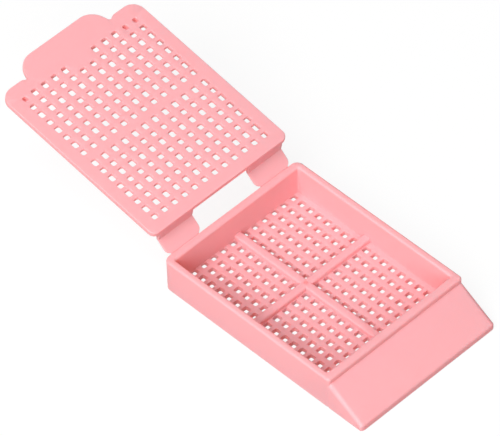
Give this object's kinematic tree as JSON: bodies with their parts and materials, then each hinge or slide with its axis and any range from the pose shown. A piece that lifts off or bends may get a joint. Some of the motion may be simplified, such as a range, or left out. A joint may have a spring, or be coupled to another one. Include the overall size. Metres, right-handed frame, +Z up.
{
  "type": "tissue cassette",
  "caption": "Perforated tissue embedding cassette with quartered tray, sloping label face and attached perforated lid on flexible straps.",
  "frame": {"origin": "on the tray's underside, below the centre of its hole grid", "axes": "+X across the tray, +Y towards the hinge, +Z up"},
  "size_m": [0.0284, 0.079, 0.0166],
  "materials": {
    "moulding": "satin"
  },
  "bodies": {
    "tray": {"tray": "moulding", "hinge_strap_left": "moulding", "hinge_strap_right": "moulding"},
    "lid": {"lid": "moulding"}
  },
  "joints": [
    {"name": "lid_hinge", "type": "hinge", "parent": "tray", "child": "lid", "pos_m": [0, 0.01684, 0.00797], "axis": [1, 0, 0], "range_deg": [0, 169.43], "deforming": ["hinge_strap_left", "hinge_strap_right"]}
  ]
}
